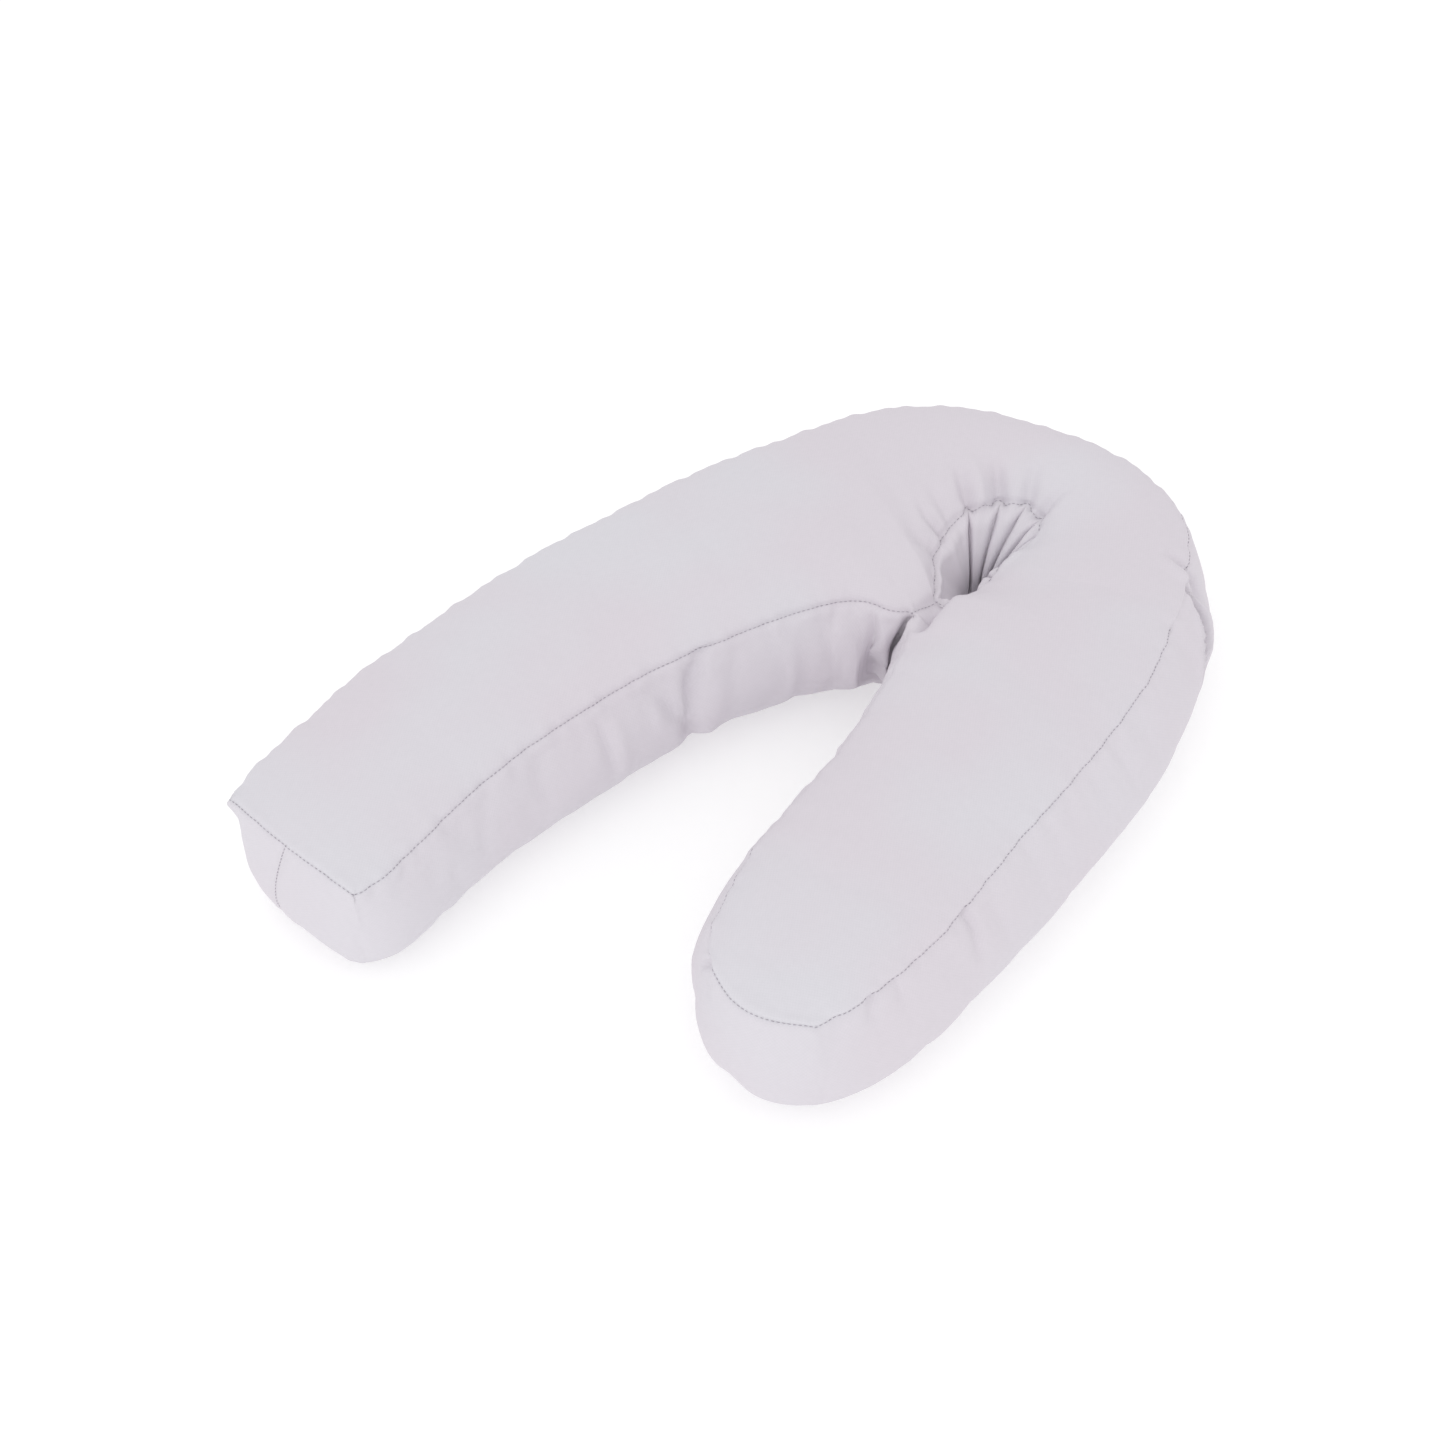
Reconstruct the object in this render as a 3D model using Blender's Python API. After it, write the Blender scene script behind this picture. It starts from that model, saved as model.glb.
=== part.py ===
"""Side-sleeper body pillow with an ear hole, lying flat: one filled, boxed cloth body.

A U of two unlike arms. The long arm ends square, the short arm ends round, and the inner edges
of both arms are sewn together for a short stretch, which parts the slot between the arms from the
ear hole in the bend. A top panel and a bottom panel of the same outline are joined by a side
band, which swells out between its two seams. Metres, +Z up, origin at the middle of the
footprint on the surface the pillow lies on.
"""
import math

import bmesh
import bpy
import numpy as np

MM = 0.001

LOWER_SEAM_HEIGHT = 8.0      # the lower seam hangs clear of the surface, mm
LOWER_TUCK = 6.0             # how far the lower seam is drawn in under the swollen band, mm
RESTING_MARGIN = 22.0        # from the lower seam in to the part of the underside that lies flat, mm
CORNER_ROUNDING = 20.0       # how far either side of a sharp seam corner the band is rounded, mm
STEPS_PER_ROW = 2            # mesh lines to each row of the table below
FACES_ACROSS = 6             # faces across a panel
FACES_DOWN = 6               # faces down the side band

CLOTH_COLOUR = (0.708, 0.680, 0.723, 1.0)
CLOTH_ROUGHNESS = 0.9

# One row for each line across the top panel, from the square end of the long arm, round the
# bend, to the round end of the short arm. All in mm: both ends of the line on the top seam, how
# far the band swells out below each end, the height of the crown above the seam, and how far the
# middle of the line bows along the arm.
PANEL_COLUMNS = ("part", "inner_x", "inner_y", "inner_z", "outer_x", "outer_y", "outer_z",
                 "inner_swell", "outer_swell", "crown", "bow")
PANEL_ROWS = (
    ("square end", -301, 61, 95, -328, 173, 95, 20, 5, 6, -4),
    ("long arm", -279, 60, 95, -301, 187, 95, 20, 9, 11, -2),
    ("long arm", -240, 72, 95, -255, 202, 95, 18, 14, 14, -1),
    ("long arm", -195, 86, 95, -204, 217, 95, 19, 15, 15, 0),
    ("long arm", -145, 96, 95, -150, 227, 95, 23, 15, 15, 0),
    ("long arm", -95, 101, 95, -95, 236, 95, 25, 15, 15, 0),
    ("long arm", -45, 103, 95, -40, 241, 95, 23, 15, 15, 0),
    ("long arm", 5, 98, 95, 12, 242, 95, 19, 15, 15, 0),
    ("long arm", 50, 92, 95, 60, 242, 95, 23, 15, 15, 0),
    ("slot corner", 86, 84, 94, 100, 240, 95, 22, 15, 15, 0),
    ("slot corner", 109, 73, 93, 127, 237, 95, 15, 15, 15, 0),
    ("slot end", 120, 57, 91, 148, 234, 95, 5, 15, 15, 0),
    ("stitched", 133, 48, 88, 168, 231, 95, 0, 15, 15, 0),
    ("stitched", 157, 50, 87, 188, 228, 95, 0, 15, 15, 0),
    ("ear hole", 170, 63, 84, 204, 225, 95, 5, 15, 14, 0),
    ("ear hole", 182, 80, 86, 219, 221, 95, 10, 15, 13, 0),
    ("ear hole", 199, 94, 87, 238, 214, 95, 15, 15, 12, 0),
    ("ear hole", 221, 102, 87, 262, 200, 95, 16, 15, 12, 0),
    ("ear hole", 243, 99, 87, 290, 176, 95, 16, 14, 12, 0),
    ("ear hole", 260, 89, 87, 315, 139, 95, 16, 13, 12, 0),
    ("ear hole", 265, 74, 86, 336, 99, 95, 16, 12, 12, 0),
    ("ear hole", 257, 61, 84, 347, 56, 95, 16, 12, 12, 0),
    ("ear hole", 241, 55, 82, 342, 10, 95, 15, 16, 12, 0),
    ("ear hole", 221, 51, 81, 323, -22, 95, 13, 21, 13, 0),
    ("ear hole", 200, 46, 81, 297, -48, 95, 10, 23, 14, 0),
    ("ear hole", 177, 42, 83, 262, -72, 95, 6, 26, 15, 0),
    ("stitched", 157, 50, 87, 224, -95, 95, 0, 28, 15, 0),
    ("stitched", 133, 48, 88, 187, -111, 95, 0, 30, 15, 0),
    ("slot end", 119, 37, 90, 160, -121, 95, 3, 30, 15, 0),
    ("short arm", 97, 19, 94, 133, -130, 95, 8, 30, 15, 0),
    ("short arm", 59, -2, 95, 101, -140, 95, 10, 30, 15, 0),
    ("short arm", 12, -24, 95, 63, -151, 95, 12, 30, 15, 0),
    ("short arm", -33, -40, 95, 23, -165, 95, 13, 28, 15, 2),
    ("short arm", -78, -56, 95, -18, -179, 95, 14, 25, 15, 5),
    ("short arm", -112, -75, 95, -60, -188, 95, 16, 26, 14, 9),
    ("round end", -136, -91, 95, -98, -192, 95, 16, 25, 10, 15),
    ("round end", -150, -106, 95, -124, -189, 95, 11, 26, 5, 19),
)


def column(*names):
    """The named columns of the table, one row of numbers for each line across the panel."""
    places = [PANEL_COLUMNS.index(name) for name in names]
    return np.array([[row[place] for place in places] for row in PANEL_ROWS], dtype=float)


def smooth_curve(points, steps):
    """A Catmull-Rom curve through the points, with the given steps to each stretch."""
    ends = np.vstack([2 * points[0] - points[1], points, 2 * points[-1] - points[-2]])
    curve = []
    for before, start, end, after in zip(ends[:-3], ends[1:-2], ends[2:-1], ends[3:]):
        for step in range(steps):
            t = step / steps
            curve.append(0.5 * (2 * start + (end - before) * t
                                + (2 * before - 5 * start + 4 * end - after) * t ** 2
                                + (3 * start - before - 3 * end + after) * t ** 3))
    curve.append(points[-1])
    return np.array(curve)


def smooth_step(x):
    x = np.clip(x, 0.0, 1.0)
    return x * x * (3 - 2 * x)


def stitched_rows():
    """The four rows where the two arms' inner edges are sewn together."""
    return [place for place, row in enumerate(PANEL_ROWS) if row[0] == "stitched"]


def top_panel():
    """The top panel as a grid of points: lines across it by points along each line."""
    rows = column("inner_x", "inner_y", "inner_z")
    cuts = [0] + stitched_rows() + [len(rows) - 1]
    stretches = [smooth_curve(rows[start:end + 1], STEPS_PER_ROW)
                 for start, end in zip(cuts[:-1], cuts[1:])]
    inner = np.vstack([stretch[:-1] for stretch in stretches] + [rows[-1:]])
    outer = smooth_curve(column("outer_x", "outer_y", "outer_z"), STEPS_PER_ROW)
    crown, bow = smooth_curve(column("crown", "bow"), STEPS_PER_ROW).T

    across = np.linspace(0.0, 1.0, FACES_ACROSS + 1)
    panel = inner[:, None] * (1 - across[:, None]) + outer[:, None] * across[:, None]
    along = np.gradient((inner + outer) / 2, axis=0)[:, :2]
    along /= np.linalg.norm(along, axis=1)[:, None]
    panel[:, :, :2] += along[:, None] * (bow[:, None] * 4 * across * (1 - across))[:, :, None]
    panel[:, :, 2] += crown[:, None] * (1 - np.abs(2 * across - 1) ** 2.6)
    return panel


def seam_loops(lines, points):
    """Grid places round the outer seam and round the ear hole, solid on the right of both."""
    slot_start, hole_start, hole_end, slot_end = [row * STEPS_PER_ROW for row in stitched_rows()]
    last_line, last_point = lines - 1, points - 1
    outer = [(line, 0) for line in range(slot_start, 0, -1)]
    outer += [(0, point) for point in range(last_point)]
    outer += [(line, last_point) for line in range(last_line)]
    outer += [(last_line, point) for point in range(last_point, 0, -1)]
    outer += [(line, 0) for line in range(last_line, slot_end, -1)]
    hole = [(line, 0) for line in range(hole_end - 1, hole_start - 1, -1)]
    return outer, hole


def rounded(loop):
    """The closed loop with its corners rounded by two moving averages along its length."""
    steps = np.linalg.norm(np.roll(loop, -1, axis=0) - loop, axis=1)
    length = steps.sum()
    places = np.append(0.0, np.cumsum(steps))
    closed = np.vstack([loop, loop[:1]])
    samples = int(length / 2.0)
    even = np.arange(samples) * length / samples
    path = np.stack([np.interp(even, places, axis) for axis in closed.T], axis=1)
    reach = int(CORNER_ROUNDING * samples / length)
    for _ in range(2):
        path = sum(np.roll(path, shift, axis=0) for shift in range(-reach, reach + 1))
        path = path / (2 * reach + 1)
    path = np.vstack([path, path[:1]])
    even = np.append(even, length)
    return np.stack([np.interp(places[:-1], even, axis) for axis in path.T], axis=1)


def side_band(seam, swell):
    """Rings of the side band, from the top seam down to the lower seam."""
    soft = rounded(seam)
    ahead = (np.roll(soft, -1, axis=0) - np.roll(soft, 1, axis=0))[:, :2]
    ahead /= np.linalg.norm(ahead, axis=1)[:, None]
    outwards = np.stack([-ahead[:, 1], ahead[:, 0]], axis=1)
    rings = []
    for down in np.linspace(0.0, 1.0, FACES_DOWN + 1):
        blend = smooth_step(down / 0.4)
        ring = seam * (1 - blend) + soft * blend
        out = swell * math.sin(math.pi * down ** 1.25) ** 0.85
        out = out - LOWER_TUCK * smooth_step((down - 0.6) / 0.4)
        ring[:, :2] += outwards * out[:, None]
        ring[:, 2] = ring[:, 2] * (1 - down) + LOWER_SEAM_HEIGHT * down
        rings.append(ring)
    return rings


def underside_point(start, end, line, share):
    """A point of the underside, below the given line of the top panel."""
    straight = line[0] * (1 - share) + line[-1] * share
    place = start * (1 - share) + end * share
    place[:2] += (line[int(round(share * FACES_ACROSS))] - straight)[:2]
    from_seam = min(share, 1 - share) * np.linalg.norm((line[-1] - line[0])[:2])
    place[2] = LOWER_SEAM_HEIGHT * (1 - smooth_step(from_seam / RESTING_MARGIN))
    return place


def pillow_mesh():
    """The whole pillow as points in mm and four-sided faces turned outwards."""
    panel = top_panel()
    lines, points = panel.shape[:2]
    slot_start, hole_start, hole_end, slot_end = [row * STEPS_PER_ROW for row in stitched_rows()]
    swell = smooth_curve(column("inner_swell", "outer_swell"), STEPS_PER_ROW)
    verts, faces = [], []

    def add(place):
        verts.append(place)
        return len(verts) - 1

    def partner(line):
        """The line of the long arm whose inner end is sewn to this line of the short arm."""
        return slot_start + slot_end - line

    top = {}
    for line in range(lines):
        for point in range(points):
            sewn = point == 0 and hole_end <= line <= slot_end
            top[line, point] = top[partner(line), 0] if sewn else add(panel[line, point])

    bottom = {}
    for loop in seam_loops(lines, points):
        seam = np.array([panel[place] for place in loop])
        out = np.array([np.interp(point / (points - 1), (0, 1), swell[line])
                        for line, point in loop])
        ids = [[top[place] for place in loop]]
        ids += [[add(place) for place in ring] for ring in side_band(seam, out)[1:]]
        for upper, lower in zip(ids[:-1], ids[1:]):
            for here in range(len(loop)):
                ahead = (here + 1) % len(loop)
                faces.append((upper[here], upper[ahead], lower[ahead], lower[here]))
        bottom.update(zip(loop, ids[-1]))

    start, end = verts[bottom[slot_start, 0]], verts[bottom[hole_start, 0]]
    for line in range(slot_start + 1, hole_start):
        share = (line - slot_start) / (hole_start - slot_start)
        bottom[line, 0] = add(start * (1 - share) + end * share)
    for line in range(hole_end, slot_end + 1):
        bottom[line, 0] = bottom[partner(line), 0]
    for line in range(lines):
        start, end = verts[bottom[line, 0]], verts[bottom[line, points - 1]]
        for point in range(1, points - 1):
            if (line, point) not in bottom:
                share = point / (points - 1)
                bottom[line, point] = add(underside_point(start, end, panel[line], share))

    for line in range(lines - 1):
        for point in range(points - 1):
            ring = ((line, point), (line + 1, point), (line + 1, point + 1), (line, point + 1))
            faces.append([top[place] for place in ring])
            faces.append([bottom[place] for place in reversed(ring)])
    return np.array(verts), faces


def cloth_material():
    material = bpy.data.materials.new("pale woven cotton")
    material.use_nodes = True
    surface = material.node_tree.nodes["Principled BSDF"]
    surface.inputs["Base Color"].default_value = CLOTH_COLOUR
    surface.inputs["Roughness"].default_value = CLOTH_ROUGHNESS
    surface.inputs["Metallic"].default_value = 0.0
    return material


def add_pillow(collection):
    """The filled pillow, set down with the middle of its footprint on the origin."""
    verts, faces = pillow_mesh()
    low, high = verts.min(axis=0), verts.max(axis=0)
    middle = np.array([(low[0] + high[0]) / 2, (low[1] + high[1]) / 2, low[2]])
    mesh = bpy.data.meshes.new("pillow")
    shape = bmesh.new()
    corners = [shape.verts.new((place - middle) * MM) for place in verts]
    for face in faces:
        shape.faces.new([corners[corner] for corner in face])
    bmesh.ops.recalc_face_normals(shape, faces=shape.faces)
    bmesh.ops.triangulate(shape, faces=shape.faces)
    shape.to_mesh(mesh)
    shape.free()
    mesh.shade_smooth()
    mesh.materials.append(cloth_material())
    pillow = bpy.data.objects.new("pillow", mesh)
    collection.objects.link(pillow)
    return pillow


def main():
    for thing in list(bpy.data.objects):
        bpy.data.objects.remove(thing, do_unlink=True)
    collection = bpy.data.collections.new("body_pillow")
    bpy.context.scene.collection.children.link(collection)
    add_pillow(collection)


main()
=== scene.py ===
"""The finished look of a side-sleeper body pillow: filled cotton cover, seams and stitches."""
import math

import bmesh
import bpy
import numpy as np
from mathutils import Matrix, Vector


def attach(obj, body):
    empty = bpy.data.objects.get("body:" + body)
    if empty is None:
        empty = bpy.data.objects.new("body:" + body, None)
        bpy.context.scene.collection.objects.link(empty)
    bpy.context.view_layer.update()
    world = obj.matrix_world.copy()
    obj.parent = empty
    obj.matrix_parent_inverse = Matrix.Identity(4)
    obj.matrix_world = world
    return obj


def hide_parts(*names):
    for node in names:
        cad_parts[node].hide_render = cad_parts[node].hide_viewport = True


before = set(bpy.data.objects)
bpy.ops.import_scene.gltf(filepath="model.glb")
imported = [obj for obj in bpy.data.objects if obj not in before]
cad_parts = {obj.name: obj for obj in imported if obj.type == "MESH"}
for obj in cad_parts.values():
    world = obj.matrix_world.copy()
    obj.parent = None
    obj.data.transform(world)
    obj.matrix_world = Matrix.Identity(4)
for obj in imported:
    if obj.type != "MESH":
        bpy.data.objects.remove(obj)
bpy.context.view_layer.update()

MM = 0.001

# The tables below are in mm, measured from the pillow maker's own zero point. The middle of the
# footprint, which is the frame's origin, lies here in those measurements.
FOOTPRINT_MIDDLE = (13.23, 20.78)

# The mesh.
STEPS_PER_ROW = 8         # mesh lines to each row of the panel table
FACES_ACROSS = 20         # faces across a panel
FACES_DOWN = 18           # faces down a band
END_CROWDING = 0.09       # how much closer together the mesh lines are beside a seam

# The panels.
CROWN_FLATNESS = 2.6      # a higher number leaves a panel flatter in its middle
EDGE_ROLL = 4.0           # of the crown's height, how much rises right beside the seam
EDGE_ROLL_REACH = 6.0     # how far from the seam that rise is made
RESTING_MARGIN = 24.0     # from the lower seam in to the part of the underside that lies flat

# The bands. Shares are of a band's height, counted down from its upper seam.
BAND_TOP = 95.0           # height of the upper seam along most of the cover
LOWER_SEAM_HEIGHT = 8.0   # the lower seam hangs clear of the surface
SWELL_LOWERED = 1.25      # above 1, a band swells out most below half its height
SWELL_FULLNESS = 0.85     # below 1, a band swells out soon below its seam
LOWER_TUCK = 6.0          # the lower seam is drawn in under the swollen band
TUCK_START = 0.6          # the share at which that begins
CORNER_ROUNDING = 24.0    # how far either side of a sharp seam corner a band is rounded
CORNER_FADE = 0.4         # the share over which the seam's sharp corner turns into a round one
ROUNDING_STEP = 2.0       # length of the steps in which a seam is followed to round it
ROUNDING_PASSES = 2

# The seams.
STITCH_PITCH = 3.4
STITCH_LENGTH = 2.5
STITCH_LIFT = 0.5         # the stitches lie this far out of the seam's groove
THREAD_THICKNESS = 0.45
GROOVE_DEPTH = 1.2
GROOVE_WIDTH = 1.5
SHOULDER_HEIGHT = 0.5     # the cloth stands up on both sides of the groove
SHOULDER_PLACE = 5.0      # and stands highest this far from the seam
SHOULDER_WIDTH = 3.0
# The puckers along every seam: how high each of three waves is, and how long.
PUCKERS = ((0.30, 13.0), (0.35, 21.0), (0.45, 37.0))
PUCKER_REACH = 9.0        # how far from the seam the puckers die out
HOLE_RUN_START = 10000.0  # the hole's seam is counted from here, clear of the outer seam's runs

# The cloth.
YARN_PITCH = 1.2          # twice the real yarn's, so that the weave shows from across a room
WEAVE_HEIGHT = 0.35       # against the height of the slubs
DYE_DRIFT = -0.4          # how far the dye's patches drift over a metre along the long arm

# One row for each line across the top panel, from the square end of the long arm, round the
# bend, to the round end of the short arm: both ends of the line on the upper seam, how far the
# band swells out below each end, the height of the crown above the seam, and how far the middle
# of the line bows along the arm. The outer end always lies at the band's top.
PANEL_COLUMNS = ("part", "inner_x", "inner_y", "inner_z", "outer_x", "outer_y",
                 "inner_swell", "outer_swell", "crown", "bow")
PANEL_ROWS = (
    ("square end", -304, 57, 95, -328, 173, 13, 4, 6, -4),
    ("long arm", -279, 60, 95, -301, 187, 17, 9, 11, -2),
    ("long arm", -240, 72, 95, -255, 202, 18, 14, 14, -1),
    ("long arm", -195, 86, 95, -204, 217, 19, 15, 15, 0),
    ("long arm", -145, 96, 95, -150, 227, 23, 15, 15, 0),
    ("long arm", -95, 101, 95, -95, 236, 25, 15, 15, 0),
    ("long arm", -45, 103, 95, -40, 241, 23, 15, 15, 0),
    ("long arm", 5, 98, 95, 12, 242, 19, 15, 15, 0),
    ("long arm", 50, 92, 95, 60, 242, 23, 15, 15, 0),
    ("slot corner", 86, 84, 94, 100, 240, 25, 15, 15, 0),
    ("slot corner", 109, 73, 93, 127, 237, 29, 15, 15, 0),
    ("slot end", 120, 57, 91, 148, 234, 18, 15, 15, 0),
    ("stitched", 133, 48, 88, 168, 231, 0, 15, 15, 0),
    ("stitched", 157, 50, 87, 188, 228, 0, 15, 15, 0),
    ("ear hole", 170, 63, 84, 204, 225, 5, 15, 14, 0),
    ("ear hole", 182, 80, 86, 219, 221, 10, 15, 13, 0),
    ("ear hole", 199, 94, 87, 238, 214, 12, 15, 12, 0),
    ("ear hole", 221, 102, 87, 262, 200, 13, 15, 12, 0),
    ("ear hole", 243, 99, 87, 290, 176, 13, 14, 12, 0),
    ("ear hole", 260, 89, 87, 315, 139, 13, 13, 12, 0),
    ("ear hole", 265, 74, 86, 336, 99, 13, 12, 12, 0),
    ("ear hole", 257, 61, 84, 347, 56, 13, 12, 12, 0),
    ("ear hole", 241, 55, 82, 342, 10, 13, 14, 12, 0),
    ("ear hole", 221, 51, 82, 323, -22, 12, 18, 13, 0),
    ("ear hole", 200, 46, 82, 297, -48, 10, 22, 14, 0),
    ("ear hole", 189, 44, 82, 280, -61, 8, 24, 14, 0),
    ("ear hole", 177, 42, 83, 262, -72, 6, 26, 15, 0),
    ("stitched", 157, 50, 87, 224, -95, 0, 28, 15, 0),
    ("stitched", 133, 48, 88, 187, -111, 0, 30, 15, 0),
    ("slot end", 119, 37, 88, 160, -121, 7, 30, 15, 0),
    ("short arm", 97, 19, 92, 133, -130, 10, 30, 15, 0),
    ("short arm", 59, -2, 93, 101, -140, 10, 30, 15, 0),
    ("short arm", 12, -24, 94, 63, -151, 12, 30, 15, 0),
    ("short arm", -33, -40, 95, 23, -165, 13, 28, 15, 2),
    ("short arm", -78, -56, 95, -18, -179, 14, 25, 15, 5),
    ("short arm", -112, -75, 96, -60, -188, 16, 26, 14, 9),
    ("round end", -136, -91, 97, -98, -192, 16, 24, 10, 17),
    ("round end", -150, -106, 96, -130, -190, 11, 22, 5, 22),
)

# The ear hole's band is gathered. Each pleat runs down from a place on the hole's seam, and all
# of them draw in to a narrow waist about half-way down.
EAR_HOLE_MIDDLE = (202, 63)
EAR_HOLE_WAIST = 0.30     # the waist's size against the seam's
WAIST_LOWERED = 1.1       # above 1, the waist lies below half the band's height
PLEATS = ((170, 52), (228, 102), (250, 97), (264, 83), (264, 69), (253, 59), (238, 55),
          (221, 51), (204, 47), (186, 44))
PLEAT_NIP = 8.0           # how far the cloth is nipped back along each pleat
PLEAT_NIP_WIDTH = 1.8
PLEAT_HEM = 0.05          # the share of the band beside each seam where the pleats run out
PLEAT_ROLL = 22.0         # cloth wider than this between two pleats stays flat
ROLL_AT_SEAMS = 0.26      # how far the cloth between two pleats swells, against its width
ROLL_AT_WAIST = 0.12
RIM_SCALLOP = 1.0         # how far each pleat pulls the hole's seam out of line
RIM_SCALLOP_WIDTH = 4.0
# The wall nearest the slot is steeper and smoother than the gathered wall across from it.
GATHERED_STEEPNESS = 0.7
EXTRA_STEEPNESS = 0.9     # of the wall nearest the slot
SMOOTHED_SHARE = 0.85     # how much of the cloth's roll is gone there
SLOT_WALL_START = 4.0     # how far from the hole's middle the change begins
SLOT_WALL_FADE = 24.0     # how much further on it is complete

# How suddenly each kind of fold fades to its sides, and how far its lip hangs over, against
# its depth.
FADES = {"soft": 2, "tucked": 1.5, "closed": 4}
OVERHANGS = {"soft": 0.0, "tucked": 0.15, "closed": 0.15}
LIP_REACH = 3.0           # how far right of a fold the cloth still slides with the lip
TUCK_RISE = 0.4           # how far a tucked fold's left side stands up, against its depth
TUCK_STEP = 1.2           # how far to each side of a tucked fold its sharp step reaches

# The folds, each with its width, its depths along its path, the path itself, and its kind where
# it isn't "soft". A fold's left side stands up where it is "tucked", and closes over the fold
# where it is "closed". A negative depth is a ridge. A path on the band gives heights too.
TOP_FOLDS = (
    # Puckers round the ear hole, and a ridge along its near rim.
    (5, (8, 7, 0), ((250, 96), (258, 108), (268, 126))),
    (4, (7, 5, 0), ((228, 101), (233, 116), (242, 138))),
    (5, (-4, -4, 0), ((238, 101), (246, 116), (254, 140))),
    (5, (3, 3, 0), ((209, 98), (210, 114), (214, 134))),
    (4, (6, 4, 0), ((197, 94), (194, 106), (196, 124))),
    (7, (4, 4, 0), ((184, 83), (177, 94), (172, 108))),
    (5, (6, 4, 0), ((264, 83), (276, 93), (292, 104))),
    (4, (6, 3, 0), ((264, 70), (280, 71), (298, 70))),
    (3, (0, -3, -4, -3, 0), ((198, 46), (210, 49), (222, 51), (234, 54), (246, 57))),
    # The valley beside the sewn stretch, and the hollow between that stretch and the hole.
    (5, (5, 13, 17, 12, 0), ((160, 47), (149, 44), (139, 40), (129, 35), (120, 29))),
    (8, (2, 5, 2), ((160, 51), (170, 63), (181, 79))),
    # The tuck in the bend's outer side pulls at the panel.
    (4, (0, 4, 7, 5), ((302, -17), (304, -26), (306, -35), (306, -41))),
    (5, (0, -2, -3, -2), ((294, -18), (297, -29), (299, -38), (300, -45))),
    (5, (0, 2, 0), ((254, -62), (262, -74), (264, -82))),
)
BAND_FOLDS = (
    # The long arm's wall along the slot, from the corner of the square end.
    (3, (2, 2, 0), ((-304, 57, 95), (-304, 57, 90), (-304, 57, 82))),
    (5, (2, 4, 1), ((-95, 101, 92), (-96, 101, 66), (-98, 101, 40))),
    (7, (0, -3, -1), ((-84, 101, 84), (-86, 101, 60), (-88, 101, 38))),
    (5, (0, -2, 0), ((-50, 102, 86), (-54, 102, 70), (-58, 102, 54))),
    (4, (2, 4, 5, 3), ((-49, 102, 84), (-41, 102, 68), (-32, 102, 50), (-24, 102, 30))),
    (5, (4, 8, 8, 6, 2),
     ((-5, 99, 94), (-19, 101, 78), (-25, 102, 54), (-23, 102, 34), (-15, 101, 12))),
    (8, (0, -2, -2, -1), ((8, 98, 88), (-4, 99, 70), (-10, 100, 48), (-10, 100, 24))),
    (3, (0, -3, 0), ((-25, 102, 56), (-16, 101, 40), (-8, 100, 26))),
    (5, (0, -1, -2, 0), ((57, 91, 88), (55, 91, 70), (52, 92, 50), (50, 92, 36))),
    (7, (0, 1, 2, 1), ((66, 89, 84), (64, 89, 60), (60, 90, 36), (58, 90, 20))),
    (3, (1, 2, 0), ((92, 82, 93), (91, 83, 84), (90, 83, 76))),
    # The pocket in the slot's end, and the deep crease where the two arms meet.
    (26, (3, 9, 11, 10, 7, 0),
     ((121, 56, 8), (125, 53, 22), (128, 51, 44), (125, 53, 59), (119, 59, 79), (115, 65, 93)),
     "tucked"),
    (4, (4, 14, 18, 12), ((133, 48, 88), (133, 48, 60), (133, 48, 30), (133, 48, 10))),
    # The short arm's outer wall and the round end.
    (4, (5, 5, 4, 0), ((-2, -174, 94), (-2, -174, 84), (-6, -175, 72), (-9, -176, 60))),
    (3, (3, 2, 0), ((-90, -192, 94), (-92, -192, 88), (-93, -192, 80))),
    (10, (0, 5, 5), ((-158, -156, 50), (-158, -156, 26), (-159, -153, 8))),
    (3, (0, 4, 3), ((-157, -158, 34), (-158, -156, 22), (-159, -153, 8))),
    (3, (0, 4, 4), ((-110, -191, 32), (-114, -191, 20), (-117, -191, 8))),
    (3, (0, 4, 3), ((-66, -188, 38), (-70, -189, 24), (-74, -189, 10))),
    (3, (0, 4, 3), ((-26, -181, 36), (-28, -182, 24), (-30, -182, 10))),
    (3, (3, 3, 0), ((-68, -189, 93), (-71, -190, 87), (-74, -190, 79))),
    (3, (4, 4, 0), ((-153, -113, 94), (-150, -108, 85), (-147, -102, 75))),
    (4, (3, 2, 0), ((-153, -116, 92), (-155, -122, 84), (-155, -128, 76))),
    # The tuck in the bend's outer side, and the ridges on both sides of it.
    (3, (0, 20, 36, 40, 30, 0),
     ((298, -47, 95), (296, -49, 86), (290, -55, 76), (283, -60, 67), (273, -66, 61),
      (262, -72, 55)), "closed"),
    (6, (0, -5, -8, -6, 0),
     ((290, -53, 86), (285, -57, 76), (278, -62, 68), (266, -69, 62), (256, -75, 56))),
    (6, (0, -4, -6, -5, 0),
     ((304, -42, 84), (300, -45, 75), (293, -51, 65), (285, -58, 57), (274, -65, 49))),
    (4, (4, 8, 7, 0), ((305, -40, 95), (305, -41, 88), (303, -43, 80), (299, -46, 72))),
)
# Along each of these stretches the cloth rolls over the upper seam and hides its stitches.
HIDDEN_SEAMS = (((302, -43), (262, -72)), ((-60, -48), (131, 47)))
# The outer band is joined here, by a seam of its own from the upper seam to the lower one,
# which bows towards the far side as it runs down.
BAND_JOIN = (-318, 112)
JOIN_BOW = 10.0
JOIN_BOW_TURN = 0.75      # the share of a half wave that it bows in on its way down
JOIN_REACH = 30.0         # how far from the join the band is shifted with it

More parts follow.
